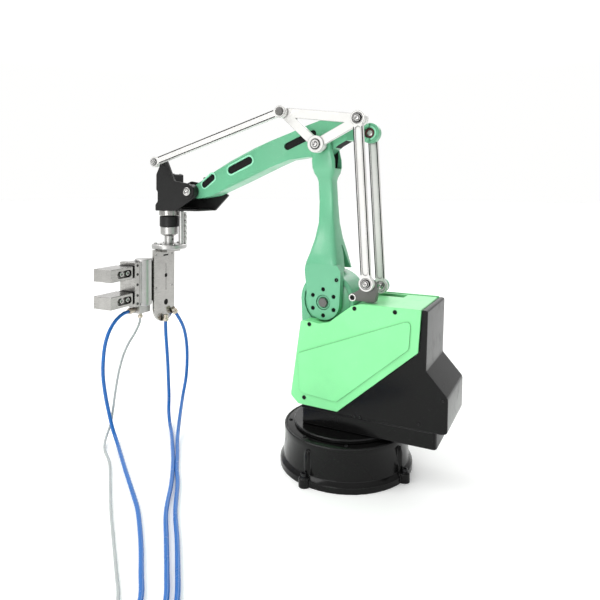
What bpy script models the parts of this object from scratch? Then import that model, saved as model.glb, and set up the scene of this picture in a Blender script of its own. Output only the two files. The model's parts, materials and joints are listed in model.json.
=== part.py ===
"""A desktop four-axis robot arm with parallel level links and a pneumatic gripper.

Metres, +Z up. The origin is the centre of the base's underside, +X is the way the arm points,
and +Y is the arm's left. Outlines are written in millimetres and scaled by MM.
"""

import math

import bmesh
import bpy
from mathutils import Matrix, Vector

MM = 0.001
GAP = 0.3  # mm between pieces that touch

# Joint axes at rest, mm (x, z). The hinges of the arm all lie along Y.
J2 = (20.0, 245.0)  # shoulder
LOWER_ARM = 236.0
LOWER_LEAN = math.radians(3.1)
J3 = (J2[0] + LOWER_ARM * math.sin(LOWER_LEAN), J2[1] + LOWER_ARM * math.cos(LOWER_LEAN))
FOREARM = 258.5
FOREARM_DIP = math.radians(16.0)
WRIST = (J3[0] + FOREARM * math.cos(FOREARM_DIP), J3[1] - FOREARM * math.sin(FOREARM_DIP))
REAR_LINK = (-70.0, 34.0)  # shoulder to lower level rod, and elbow to the triangle's rear pin
FRONT_LINK = (56.0, 51.4)  # elbow to the triangle's front pin, and wrist to its top pin
CRANK_LINK = (-66.0, 18.6)  # shoulder to crank pin, and elbow to the forearm's tail pin
TOOL_AXIS_X = 345.0  # J4, a vertical axis on the arm's middle plane


def moved(point, offset):
    return (point[0] + offset[0], point[1] + offset[1])


ROD_FOOT = moved(J2, REAR_LINK)
TRIANGLE_REAR = moved(J3, REAR_LINK)
TRIANGLE_FRONT = moved(J3, FRONT_LINK)
WRIST_TOP = moved(WRIST, FRONT_LINK)
CRANK_PIN = moved(J2, CRANK_LINK)
TAIL_PIN = moved(J3, CRANK_LINK)

# Layers across the arm, mm along Y (low, high)
DRUM_HALF = 26.0
CHEEK_Y = (27.0, 40.0)
TRIANGLE_Y = (30.5, 40.5)
TRIANGLE_WEB_Y = (32.5, 38.5)
LEVEL_ROD_Y = (42.0, 49.0)
DRIVE_ROD_Y = (-34.0, -27.0)
CRANK_Y = (-42.0, -35.0)
COVER_Y = (52.3, 56.0)
FORK_HALF = 12.4  # half the gap in the lower arm's fork
ELBOW_HALF = 11.6  # half the forearm's width in that fork
CASING_HALF = 52.0
SHELL_HALF = 51.5

# Base, mm
BASE_RADIUS = 100.0
RIM_RADIUS = 93.5
BASE_HEIGHT = 58.0
FOOT_START = math.radians(77.0)
TURNTABLE = (79.0, 58.4, 64.2)  # radius, low, high
FOOT_BOX_Z = (64.5, 88.2)

COLOURS = {
    "green": ((0.20, 0.66, 0.40), 0.35, 0.0),
    "light_green": ((0.33, 0.85, 0.47), 0.4, 0.0),
    "gloss_black": ((0.012, 0.012, 0.013), 0.16, 0.0),
    "matt_black": ((0.025, 0.025, 0.026), 0.5, 0.0),
    "white_aluminium": ((0.78, 0.78, 0.77), 0.35, 0.6),
    "brushed_aluminium": ((0.52, 0.51, 0.50), 0.38, 0.9),
    "steel": ((0.45, 0.45, 0.46), 0.3, 1.0),
    "grey": ((0.20, 0.20, 0.21), 0.5, 0.2),
    "dark_motor": ((0.05, 0.05, 0.055), 0.55, 0.3),
    "brass": ((0.55, 0.42, 0.24), 0.35, 1.0),
    "blue_tube": ((0.02, 0.16, 0.62), 0.3, 0.0),
    "clear_tube": ((0.80, 0.83, 0.82), 0.2, 0.0),
}


def clear_scene():
    for obj in list(bpy.data.objects):
        bpy.data.objects.remove(obj, do_unlink=True)


def material(name):
    found = bpy.data.materials.get(name)
    if found:
        return found
    colour, roughness, metallic = COLOURS[name]
    made = bpy.data.materials.new(name)
    made.use_nodes = True
    shader = made.node_tree.nodes["Principled BSDF"]
    shader.inputs["Base Color"].default_value = (*colour, 1.0)
    shader.inputs["Roughness"].default_value = roughness
    shader.inputs["Metallic"].default_value = metallic
    return made


def place(name, bm, finish, origin=(0.0, 0.0, 0.0)):
    """Makes an object from a mesh built in world metres, with its own origin at the point given."""
    bmesh.ops.recalc_face_normals(bm, faces=bm.faces)
    bmesh.ops.translate(bm, verts=bm.verts, vec=-Vector(origin))
    mesh = bpy.data.meshes.new(name)
    bm.to_mesh(mesh)
    bm.free()
    mesh.shade_smooth()
    mesh.set_sharp_from_angle(angle=math.radians(35))
    obj = bpy.data.objects.new(name, mesh)
    obj.location = origin
    bpy.context.scene.collection.objects.link(obj)
    if finish:
        mesh.materials.append(material(finish))
    return obj


def axis_point(xz):
    """A point on the arm's middle plane, in metres."""
    return (xz[0] * MM, 0.0, xz[1] * MM)


# Outlines ---------------------------------------------------------------------------------


def arc(centre, radius, start, end, steps):
    """Points on an arc, its angles in degrees from +X towards +Z."""
    return [
        (
            centre[0] + radius * math.cos(math.radians(start + (end - start) * i / steps)),
            centre[1] + radius * math.sin(math.radians(start + (end - start) * i / steps)),
        )
        for i in range(steps + 1)
    ]


def rounded(corners, radius, steps=4):
    """The outline with each corner rounded. A corner may carry its own radius as a third value."""
    made = []
    count = len(corners)
    for i, corner in enumerate(corners):
        here = Vector(corner[:2])
        before = Vector(corners[i - 1][:2]) - here
        after = Vector(corners[(i + 1) % count][:2]) - here
        wanted = corner[2] if len(corner) > 2 else radius
        half = before.angle(after) / 2
        reach = wanted / math.tan(half) if wanted else 0.0
        reach = min(reach, 0.49 * before.length, 0.49 * after.length)
        if reach < 1e-3:
            made.append(tuple(here))
            continue
        start = here + before.normalized() * reach
        end = here + after.normalized() * reach
        for step in range(steps + 1):
            t = step / steps
            made.append(tuple(start * (1 - t) ** 2 + here * 2 * t * (1 - t) + end * t**2))
    return made


def stadium(start, end, radius, steps=10):
    """An outline with two round ends, round the line from start to end."""
    along = math.degrees(math.atan2(end[1] - start[1], end[0] - start[0]))
    return arc(start, radius, along + 90, along + 270, steps) + arc(
        end, radius, along - 90, along + 90, steps
    )


def inset(points, distance):
    """The outline moved inwards by a distance, with mitred corners."""
    count = len(points)
    area = sum(
        points[i - 1][0] * points[i][1] - points[i][0] * points[i - 1][1] for i in range(count)
    )
    side = distance if area > 0 else -distance
    made = []
    for i in range(count):
        here = Vector(points[i])
        into = (here - Vector(points[i - 1])).normalized()
        out = (Vector(points[(i + 1) % count]) - here).normalized()
        normal = Vector((-into.y - out.y, into.x + out.x)).normalized()
        square = normal.dot(Vector((-into.y, into.x)))
        made.append(tuple(here + normal * side / max(square, 0.3)))
    return made


# Solids -----------------------------------------------------------------------------------


def prism_mesh(points, low, high, axis="Y"):
    """An outline extruded along an axis. The outline is (x, z) for Y, (x, y) for Z, (y, z) for X."""
    bm = bmesh.new()

    def corner(p, level):
        if axis == "Y":
            return (p[0] * MM, level * MM, p[1] * MM)
        if axis == "Z":
            return (p[0] * MM, p[1] * MM, level * MM)
        return (level * MM, p[0] * MM, p[1] * MM)

    bottom = [bm.verts.new(corner(p, low)) for p in points]
    top = [bm.verts.new(corner(p, high)) for p in points]
    bm.faces.new(bottom)
    bm.faces.new(top)
    for i in range(len(points)):
        j = (i + 1) % len(points)
        bm.faces.new((bottom[i], bottom[j], top[j], top[i]))
    return bm


def prism(name, points, span, finish=None, axis="Y", origin=(0.0, 0.0, 0.0), edge=0.0):
    obj = place(name, prism_mesh(points, span[0], span[1], axis), finish, origin)
    if edge:
        bevel(obj, edge)
    return obj


def box(name, x, y, z, finish=None, origin=(0.0, 0.0, 0.0), edge=0.0):
    points = [(x[0], z[0]), (x[1], z[0]), (x[1], z[1]), (x[0], z[1])]
    return prism(name, points, y, finish, "Y", origin, edge)


def loft(name, rings, finish, origin=(0.0, 0.0, 0.0)):
    """Skins rings of points, given in mm and all with the same number, and caps both ends."""
    bm = bmesh.new()
    loops = [[bm.verts.new(Vector(p) * MM) for p in ring] for ring in rings]
    bm.faces.new(loops[0])
    bm.faces.new(loops[-1])
    count = len(loops[0])
    for lower, upper in zip(loops, loops[1:]):
        for i in range(count):
            j = (i + 1) % count
            bm.faces.new((lower[i], lower[j], upper[j], upper[i]))
    return place(name, bm, finish, origin)


def turned_mesh(profile, centre, axis, steps):
    """Turns (radius, height) points in mm about an axis. A profile that leaves the axis is a ring."""
    frames = {
        "X": (Vector((0, 1, 0)), Vector((0, 0, 1)), Vector((1, 0, 0))),
        "Y": (Vector((0, 0, 1)), Vector((1, 0, 0)), Vector((0, 1, 0))),
        "Z": (Vector((1, 0, 0)), Vector((0, 1, 0)), Vector((0, 0, 1))),
    }
    across, up, along = frames[axis]
    bm = bmesh.new()
    rows = []
    for radius, height in profile:
        middle = Vector(centre) + along * height
        if radius == 0:
            rows.append([bm.verts.new(middle * MM)] * steps)
            continue
        row = []
        for i in range(steps):
            turn = 2 * math.pi * i / steps
            row.append(
                bm.verts.new((middle + (across * math.cos(turn) + up * math.sin(turn)) * radius) * MM)
            )
        rows.append(row)
    closed = profile[0][0] > 0
    for k in range(len(rows) if closed else len(rows) - 1):
        one, two = rows[k], rows[(k + 1) % len(rows)]
        for i in range(steps):
            j = (i + 1) % steps
            corners = []
            for vert in (one[i], one[j], two[j], two[i]):
                if vert not in corners:
                    corners.append(vert)
            bm.faces.new(corners)
    return bm


def turned(name, profile, centre, axis, finish=None, steps=24, origin=(0.0, 0.0, 0.0)):
    return place(name, turned_mesh(profile, centre, axis, steps), finish, origin)


def rod(name, xz, radius, span, finish=None, steps=24, origin=(0.0, 0.0, 0.0), edge=0.0):
    """A round bar along Y."""
    low, high = span
    if edge:
        profile = [
            (0, low),
            (radius - edge, low),
            (radius, low + edge),
            (radius, high - edge),
            (radius - edge, high),
            (0, high),
        ]
    else:
        profile = [(0, low), (radius, low), (radius, high), (0, high)]
    return turned(name, profile, (xz[0], 0, xz[1]), "Y", finish, steps, origin)


def ring(name, xz, inner, outer, span, finish, steps=24, origin=(0.0, 0.0, 0.0)):
    """A flat ring round an axis along Y, such as a bearing."""
    low, high = span
    profile = [(inner, low), (outer, low), (outer, high), (inner, high)]
    return turned(name, profile, (xz[0], 0, xz[1]), "Y", finish, steps, origin)


def bevel(obj, width, segments=1, angle=30):
    modifier = obj.modifiers.new("Bevel", "BEVEL")
    modifier.width = width * MM
    modifier.segments = segments
    modifier.limit_method = "ANGLE"
    modifier.angle_limit = math.radians(angle)


def hide(obj):
    obj.hide_render = True
    obj.display_type = "WIRE"
    return obj


def boolean(obj, other, operation):
    modifier = obj.modifiers.new(other.name, "BOOLEAN")
    modifier.operation = operation
    modifier.solver = "EXACT"
    modifier.object = hide(other)


def cut(obj, *cutters):
    for cutter in cutters:
        boolean(obj, cutter, "DIFFERENCE")


def join(obj, *others):
    for other in others:
        boolean(obj, other, "UNION")


# Base -------------------------------------------------------------------------------------


def make_base():
    profile = [
        (0, 0),
        (BASE_RADIUS, 0),
        (BASE_RADIUS, 8),
        (BASE_RADIUS - 2, 11),
        (95, 14),
        (92.5, 48),
        (RIM_RADIUS, 50),
        (RIM_RADIUS, BASE_HEIGHT - 1),
        (RIM_RADIUS - 1, BASE_HEIGHT),
        (90.6, BASE_HEIGHT),
        (90.6, 53.7),
        (86, 53.7),
        (86, 7),
        (0, 7),
    ]
    base = turned("base_casting", profile, (0, 0, 0), "Z", "gloss_black", 48)
    for i in range(4):
        turn = FOOT_START + i * math.pi / 2
        foot = (100 * math.cos(turn), 100 * math.sin(turn))
        boss = [(0, 0), (8.5, 0), (8.5, 12), (7.5, 13), (0, 13)]
        join(base, turned(f"foot_{i}", boss, (*foot, 0), "Z", None, 16))
        rib = [(0, 6), (6.5, 6), (6.0, 40), (4.0, 46), (0, 47)]
        inner = (91.5 * math.cos(turn), 91.5 * math.sin(turn))
        join(base, turned(f"rib_{i}", rib, (*inner, 0), "Z", None, 12))
    for i in range(4):
        turn = FOOT_START + i * math.pi / 2
        foot = (101.5 * math.cos(turn), 101.5 * math.sin(turn))
        hole = [(0, -2), (2.8, -2), (2.8, 20), (0, 20)]
        cut(base, turned(f"foot_hole_{i}", hole, (*foot, 0), "Z", None, 12))
    hollow = [(0, 7), (85.9, 7), (85.9, 60), (0, 60)]
    cut(base, turned("base_hollow", hollow, (0, 0, 0), "Z", None, 48))

    top = [(42, 54), (90.3, 54), (90.3, 57), (88, 58), (42, 58)]
    turned("base_top_ring", top, (0, 0, 0), "Z", "gloss_black", 48)
    bearing = [(42, 44), (52, 44), (52, 53.7), (42, 53.7)]
    turned("j1_bearing", bearing, (0, 0, 0), "Z", "steel", 32)
    reducer = [(0, 33.3), (38, 33.3), (41.5, 36), (41.5, 57), (0, 57)]
    turned("j1_reducer", reducer, (0, 0, 0), "Z", "steel", 32)
    square = rounded([(-21, -21), (21, -21), (21, 21), (-21, 21)], 4, 2)
    prism("j1_motor", square, (7.3, 33), "dark_motor", "Z")


# Shoulder ---------------------------------------------------------------------------------

# The side covers' outline, and the black casing's, mm (x, z)
COVER_CORNERS = [
    (49.4, 218.6, 3),
    (32, 218.6, 3),
    (20, 216.8, 8),
    (4, 220.4, 8),
    (-14, 234.4, 8),
    (-31, 247.2, 8),
    (-46, 251.4, 6),
    (-130.8, 251.4, 2),
    (-126.2, 193.4, 2),
    (-8.9, 93.6, 2),
    (53.6, 95.0, 3),
    (65.9, 106.0, 7),
]
CASING_CORNERS = [
    (50, 88.5, 2),
    (50, 92.4, 1),
    (-8.8, 92.4, 1),
    (-126.9, 192.9, 1),
    (-131.6, 250.6, 1),
    (-138.9, 250.6, 6),
    (-136.2, 169.6, 5),
    (-165.2, 137.0, 9),
    (-164.2, 90.4, 8),
    (-156.0, 88.5, 4),
]


def make_turntable():
    radius, low, high = TURNTABLE
    rim = [(radius - 1, low), (radius, low + 1), (radius, high - 1), (radius - 1, high)]
    turned("turntable", [(0, low)] + rim + [(0, high)], (0, 0, 0), "Z", "gloss_black", 40)
    outline = rounded([(-149, -49.5), (51, -49.5), (51, 49.5), (-149, 49.5)], 5, 3)
    prism("foot_box", outline, FOOT_BOX_Z, "gloss_black", "Z", edge=1.2)


def make_frame():
    """The green casting: a drum round the shoulder axis on two walls that stand on the foot box."""
    outer = arc(J2, 44, -8, 196, 24) + [(-26, 200), (-40, 94), (46, 94), (62, 200)]
    frame = prism("shoulder_frame", outer, (-DRUM_HALF, DRUM_HALF), "green", edge=1.5)
    inside = arc(J2, 37.8, 0, 360 * 23 / 24, 23)
    cut(frame, prism("drum_bore", inside, (-30, 30)))
    cut(frame, prism("frame_hollow", [(-34, 99), (40, 99), (54, 190), (-20, 190)], (-20, 20)))
    cut(frame, prism("frame_window", [(-60, 105), (0, 105), (0, 180), (-60, 180)], (-20, 20)))
    for side, name in ((1, "j2_reducer"), (-1, "j3_reducer")):
        profile = [(0, 1), (36, 1), (37.4, 3), (37.4, 24), (30, 26.4), (0, 26.4)]
        profile = [(r, y * side) for r, y in profile][::side]
        turned(name, profile, (J2[0], 0, J2[1]), "Y", "steel", 32)


def make_shell():
    """The light green band between the side covers, open where the drum and the crank pass."""
    corners = [c[:2] for c in COVER_CORNERS]
    outside = rounded(inset(corners, 1.2), 3, 3)
    shell = prism("body_shell", outside, (-SHELL_HALF, SHELL_HALF), "light_green")
    cut(shell, prism("shell_hollow", rounded(inset(corners, 5.0), 2, 1), (-60, 60)))
    drum = arc(J2, 44.4, -8, 196, 24) + [(-26.5, 200), (-40.5, 90), (46.5, 90), (62.5, 200)]
    cut(shell, prism("drum_pass", drum, (-DRUM_HALF - 0.4, DRUM_HALF + 0.4)))
    cut(shell, rod("cheek_pass", J2, 28.0, (DRUM_HALF - 1, 42)))
    cut(shell, box("crank_pass", (-84, 52), (-46, -DRUM_HALF + 1), (196, 270)))


def cover_panel():
    """The raised panel on a side cover, with its slanted top edge."""
    return [(53, 170, 6), (50, 113, 8), (-8, 108, 6), (-114, 197, 6), (-117, 236, 6)]


def make_cover(name, side):
    low, high = sorted((COVER_Y[0] * side, COVER_Y[1] * side))
    outline = rounded(COVER_CORNERS, 3, 3)
    cover = prism(name, outline, (low, high), "light_green", edge=0.8)
    raised = rounded(cover_panel(), 6, 3)
    panel = prism(name + "_panel", raised, sorted(((COVER_Y[1] - 1.0) * side, (COVER_Y[1] + 1.6) * side)))
    join(cover, panel)


def make_casing():
    outline = rounded(CASING_CORNERS, 3, 3)
    casing = prism("rear_casing", outline, (-CASING_HALF, CASING_HALF), "gloss_black", edge=2.2)
    inside = [
        (30, 91.5),
        (-153, 91.5),
        (-161, 95),
        (-162, 136),
        (-133, 169),
        (-133.6, 185),
        (-100, 185),
        (20, 120),
    ]
    cut(casing, prism("casing_hollow", inside, (-CASING_HALF + 3, CASING_HALF - 3)))
    square = rounded([(-140, 95.8), (-83.8, 95.8), (-83.8, 150), (-140, 150)], 5, 2)
    for side, name in ((1, "j2_motor"), (-1, "j3_motor")):
        prism(name, square, sorted((2 * side, 46 * side)), "dark_motor")


def make_rod_bracket():
    """The fixed bracket that carries the lower level rod's foot."""
    corners = [
        (-20.5, 252.5, 5),
        (-31, 252.0, 1),
        (-61, 252.0, 2),
        (-63, 262.0, 2),
        (ROD_FOOT[0] - 9.5, ROD_FOOT[1] + 1.0, 5),
        (ROD_FOOT[0], ROD_FOOT[1] + 9.5, 6),
        (ROD_FOOT[0] + 8.5, ROD_FOOT[1] + 3.0, 5),
        (-36, 268.0, 2),
        (-27.5, 262.5, 4),
        (-20.5, 261.0, 4),
    ]
    y = (30.0, 41.0)
    bracket = prism("rod_bracket", rounded(corners, 3, 2), y, "grey", edge=0.6)
    cut(bracket, rod("bracket_hole", (-26.8, 256.6), 3.6, (36, 50), steps=16))
    rod("level_rod_pin", ROD_FOOT, 3.0, (41.4, 49.6), "steel", 16, axis_point(ROD_FOOT), edge=0.5)


# Arm --------------------------------------------------------------------------------------


def neck_ring(x, z, half_x, y_low, y_high, corner):
    """A rounded rectangle across the lower arm: its centre's x, its height, and its faces."""
    flat = rounded([(-half_x, y_low), (half_x, y_low), (half_x, y_high), (-half_x, y_high)], corner, 3)
    return [(x + p[0], p[1], z) for p in flat]


def make_lower_arm():
    """A cheek bolted to the shoulder's output, a waisted neck, a cup, and a tongue at the elbow."""

    def along(height):
        return J2[0] + (height - J2[1]) * math.tan(LOWER_LEAN)

    origin = axis_point(J2)
    rings = [
        neck_ring(along(292) + 2, 292, 28.5, -20, 39.6, 7),
        neck_ring(along(304) + 1.5, 304, 25.5, -19.5, 40.2, 8),
        neck_ring(along(318), 318, 21.5, -17, 36, 8),
        neck_ring(along(338), 338, 16.5, -14.5, 26.5, 7),
        neck_ring(along(362), 362, 12.8, -12.5, 17, 5),
        neck_ring(along(395), 395, 11.8, -12, 12.2, 4.5),
        neck_ring(along(425), 425, 11.8, -12, 12.2, 4.5),
        neck_ring(along(431), 431, 13.2, -14.2, 14.4, 6),
        neck_ring(along(438), 438, 16.8, -17.4, 17.4, 7),
        neck_ring(along(447), 447, 19.2, -19, 19, 8),
        neck_ring(along(458), 458, 19.4, -19, 19, 8),
        neck_ring(along(470), 470, 17.0, -19, 19, 7),
        neck_ring(along(481), 481, 15.0, -19, 19, 6),
    ]
    arm = loft("lower_arm", rings, "green", origin)
    cheek = arc(J2, 26, -180, 0, 16) + [(50.6, 292), (49, 300), (-2, 301), (-8, 292)]
    join(arm, prism("lower_arm_cheek", cheek, CHEEK_Y))
    fork = arc(J3, 14.6, 0, 180, 12) + [(J3[0] - 14.6, 470), (J3[0] + 14.6, 470)]
    join(arm, prism("lower_arm_fork", fork, (-18.6, 18.6)))
    slot = [(-40, 445), (20, 445), (30, 436.5), (90, 436.5), (90, 530), (-40, 530)]
    cut(arm, prism("lower_arm_slot", slot, (-FORK_HALF, FORK_HALF)))
    # A pocket opens between the webs at the back of the root, narrow at its top.
    pocket = [(-13, 288), (15, 288), (6, 312), (4, 328), (1, 328), (-3, 312)]
    cut(arm, prism("lower_arm_pocket", pocket, (-30, 10), axis="X"))
    cut(arm, prism("lower_arm_relief", arc(J2, 46, 30, 150, 12), (-40, CHEEK_Y[0] - 0.6)))
    cut(arm, rod("hub_recess", J2, 11.3, (37.5, 44)))
    for i in range(6):
        turn = math.radians(30 + 60 * i)
        spot = (J2[0] + 19.4 * math.cos(turn), J2[1] + 19.4 * math.sin(turn))
        cut(arm, rod(f"cheek_hole_{i}", spot, 3.3, (36.5, 44), steps=12))
    cut(arm, rod("elbow_bore", J3, 5.3, (-20, 20), steps=16))
    rod("elbow_shaft", J3, 5.0, (-20.5, 41.2), "steel", 16, axis_point(J3), edge=0.5)
    prism("shoulder_hub_bolt", arc(J2, 7.2, 0, 300, 5), (37.8, 42.6), "steel", origin=origin, edge=0.5)


def make_triangle():
    """A plate of three arms with a boss at each corner, open in the middle."""
    origin = axis_point(J3)
    crossbar = stadium(TRIANGLE_FRONT, TRIANGLE_REAR, 7.2)
    plate = prism("triangle_plate", crossbar, TRIANGLE_WEB_Y, "white_aluminium", origin=origin)
    for name, spot in (("front", TRIANGLE_FRONT), ("rear", TRIANGLE_REAR)):
        join(plate, prism(f"triangle_arm_{name}", stadium(spot, J3, 7.0), TRIANGLE_WEB_Y))
    corners = (
        ("front", TRIANGLE_FRONT, 9.0, 3.3, TRIANGLE_Y),
        ("rear", TRIANGLE_REAR, 10.5, 3.3, (TRIANGLE_Y[0], 40.0)),
        ("elbow", J3, 13.0, 8.3, TRIANGLE_Y),
    )
    for name, spot, radius, _, span in corners:
        join(plate, rod(f"triangle_boss_{name}", spot, radius, span))
    for name, spot, _, bore, _ in corners:
        cut(plate, rod(f"triangle_bore_{name}", spot, bore, (20, 50), steps=20))
    pins = (("front", TRIANGLE_FRONT, 52.5, "grey"), ("rear", TRIANGLE_REAR, 50.2, "steel"))
    for name, spot, end, finish in pins:
        pin = f"triangle_{name}_pin"
        rod(pin, spot, 3.0, (30.8, end), finish, 16, axis_point(spot), edge=0.5)
    ring("elbow_bearing", J3, 5.3, 8.0, (32.0, 40.0), "steel", 20, origin)


def link(name, start, end, width, span, finish, eyes, bores, depth=1.2):
    """A flat rod with an eye at each end, and a groove down its outer face if it has a depth."""
    bar = prism(name, stadium(start, end, width / 2, 6), span, finish, origin=axis_point(start))
    for i, (spot, eye) in enumerate(zip((start, end), eyes)):
        join(bar, rod(f"{name}_eye_{i}", spot, eye, span))
    for i, (spot, bore) in enumerate(zip((start, end), bores)):
        cut(bar, rod(f"{name}_bore_{i}", spot, bore, (span[0] - 5, span[1] + 5), steps=20))
    if not depth:
        return bar
    run = (Vector(end) - Vector(start)).normalized() * (max(eyes) + 5)
    groove = stadium(Vector(start) + run, Vector(end) - run, width / 2 - 2.6, 4)
    cut(bar, prism(name + "_groove", groove, (span[1] - depth, span[1] + 5)))
    return bar


def make_links():
    white = "white_aluminium"
    link("level_rod_lower", ROD_FOOT, TRIANGLE_REAR, 14, LEVEL_ROD_Y, white, (11, 11), (8.3, 8.3))
    for name, spot in (("lower", ROD_FOOT), ("middle", TRIANGLE_REAR)):
        bearing = "level_rod_bearing_" + name
        ring(bearing, spot, 3.3, 8.0, (42.6, 48.4), "steel", 20, axis_point(ROD_FOOT))
    upper = (TRIANGLE_FRONT, WRIST_TOP, 12, LEVEL_ROD_Y, white, (9.5, 9), (3.3, 3.5))
    link("level_rod_upper", *upper, depth=0)
    link("drive_rod", CRANK_PIN, TAIL_PIN, 14, DRIVE_ROD_Y, white, (11, 10), (8.3, 3.4))
    ring("drive_rod_bearing", CRANK_PIN, 3.3, 8.0, (-33.4, -27.6), "steel", 20, axis_point(CRANK_PIN))
    arm = prism("drive_crank", stadium(J2, CRANK_PIN, 10.5), CRANK_Y, "green", origin=axis_point(J2))
    join(arm, rod("drive_crank_hub", J2, 20, (CRANK_Y[0], -26.8)))
    cut(arm, rod("drive_crank_bore", CRANK_PIN, 3.3, (-50, -20), steps=16))
    rod("crank_pin", CRANK_PIN, 3.0, (-42.5, -26.5), "steel", 16, axis_point(CRANK_PIN), edge=0.4)


def make_forearm():
    """A casting that is narrow in the elbow's fork and ends behind it in a boss for the drive rod."""
    top = [
        (-34, 514),
        (-14, 519),
        (12, 521),
        (36, 520),
        (62, 512.5),
        (104, 498),
        (152, 481),
        (200, 460.5),
        (250, 435),
        (272, 423),
    ]
    bottom = [
        (272, 397),
        (240, 402),
        (184, 424),
        (121, 450),
        (92, 460),
        (60, 463.5),
        (36, 464),
        (22, 468),
        (8, 480),
        (-8, 488),
        (-34, 485),
    ]
    origin = axis_point(J3)
    outline = top + [(285, 416), (288, 408), (284, 400)] + bottom
    forearm = prism("forearm", outline, (-18.5, 18.5), "green", origin=origin, edge=3.0)
    # The nose narrows to go between the wrist bracket's cheeks, and the root to go into the fork.
    nose = [(200, 18.8), (262, 12.6), (300, 12.6), (300, 30), (200, 30)]
    root = [(150, 18.8), (92, ELBOW_HALF), (-14, ELBOW_HALF), (-14, 30), (150, 30)]
    for side in (-1, 1):
        for name, plan in (("nose", nose), ("root", root)):
            plan = [(x, y * side) for x, y in plan]
            cut(forearm, prism(f"forearm_{name}_{side + 1}", plan, (380, 540), axis="Z"))
    # Behind the fork only the right half carries on.
    behind = [(-6, 12), (-18, -7), (-100, -7), (-100, 30), (-6, 30)]
    cut(forearm, prism("forearm_behind", behind, (440, 540), axis="Z"))
    join(forearm, rod("forearm_tail", TAIL_PIN, 15.5, (-26.6, -14.0), edge=1.0))
    cut(forearm, rod("forearm_tail_recess", TAIL_PIN, 8.2, (-17.0, 0)))
    windows = ((247.5, 427.5, 33, 5.6, -34), (180.5, 452.8, 51, 6.4, -23), (72.5, 490.5, 60, 6.0, -22))
    for i, (x, z, length, radius, slope) in enumerate(windows):
        along = Vector((math.cos(math.radians(slope)), math.sin(math.radians(slope))))
        reach = along * (length / 2 - radius)
        shape = stadium(Vector((x, z)) - reach, Vector((x, z)) + reach, radius, 6)
        for side in (-1, 1):
            depth = sorted((5 * side, 25 * side))
            cut(forearm, prism(f"forearm_window_{i}_{side + 1}", shape, depth))
    cut(forearm, rod("forearm_elbow_bore", J3, 5.3, (-25, 25), steps=16))
    cut(forearm, rod("forearm_wrist_bore", WRIST, 4.3, (-25, 25), steps=16))
    cut(forearm, rod("forearm_tail_bore", TAIL_PIN, 3.6, (-30, -10), steps=16))
    rod("forearm_tail_pin", TAIL_PIN, 3.2, (-35.0, -15.5), "steel", 16, origin, edge=0.4)


# Wrist and tool ---------------------------------------------------------------------------


def make_wrist():
    origin = axis_point(WRIST)
    front = [
        (WRIST_TOP[0] + 8, WRIST_TOP[1] + 2, 6),
        (WRIST_TOP[0] + 8.5, WRIST_TOP[1] - 8, 4),
        (352.5, 440, 4),
        (352.5, 413, 1),
        (349.5, 409, 1),
        (349.5, 392, 2),
        (354.5, 386, 2),
        (354.5, 375.5, 2),
    ]
    near = front + [
        (309, 375.5, 2),
        (269.5, 398, 6),
        (268.0, 416, 9),
        (281, 423, 8),
        (312, 428, 4),
        (326, 458, 4),
        (WRIST_TOP[0] - 6, WRIST_TOP[1] + 8, 6),
    ]
    far = front[3:] + [
        (260, 375.5, 3),
        (231, 402.8, 2),
        (247, 412, 4),
        (WRIST[0] - 8, WRIST[1] + 13, 6),
        (WRIST[0] + 10, WRIST[1] + 15, 6),
        (312, 428, 4),
    ]
    bracket = prism("wrist_bracket", rounded(near, 3, 3), (22.0, 26.0), "matt_black", origin=origin)
    join(bracket, prism("wrist_far_cheek", rounded(far, 3, 3), (-26.0, -22.0)))
    join(bracket, box("wrist_floor", (298, 354.3), (-24, 24), (375.6, 380.5)))
    join(bracket, box("wrist_sill", (262, 298.2), (-24, 24), (375.6, 378.2)))
    for side in (-1, 1):
        ear = rod(f"wrist_ear_{side + 1}", WRIST, 12.4, sorted((13.4 * side, 24 * side)), edge=0.0)
        join(bracket, ear)
    cut(bracket, rod("wrist_bore", WRIST, 4.3, (-40, 40), steps=16))
    cut(bracket, rod("wrist_top_bore", WRIST_TOP, 3.5, (10, 40), steps=16))
    bore = [(0, 360), (12, 360), (12, 390), (0, 390)]
    cut(bracket, turned("wrist_floor_bore", bore, (TOOL_AXIS_X, 0, 0), "Z", None, 20))
    rod("wrist_pin", WRIST, 4.0, (-27.5, 28.0), "steel", 16, origin, edge=0.6)
    rod("wrist_top_pin", WRIST_TOP, 3.2, (21.0, 50.4), "steel", 16, axis_point(WRIST_TOP), edge=0.4)
    half = 14.1
    x = (TOOL_AXIS_X - half - 8, TOOL_AXIS_X + half - 8)
    box("j4_motor", x, (-half, half), (380.8, 440.5), "dark_motor", edge=1.5)
    flange = [(0, 365.6), (16.5, 365.6), (18, 367), (18, 375.2), (0, 375.2)]
    turned("j4_flange", flange, (TOOL_AXIS_X, 0, 0), "Z", "brushed_aluminium", 28)


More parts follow.
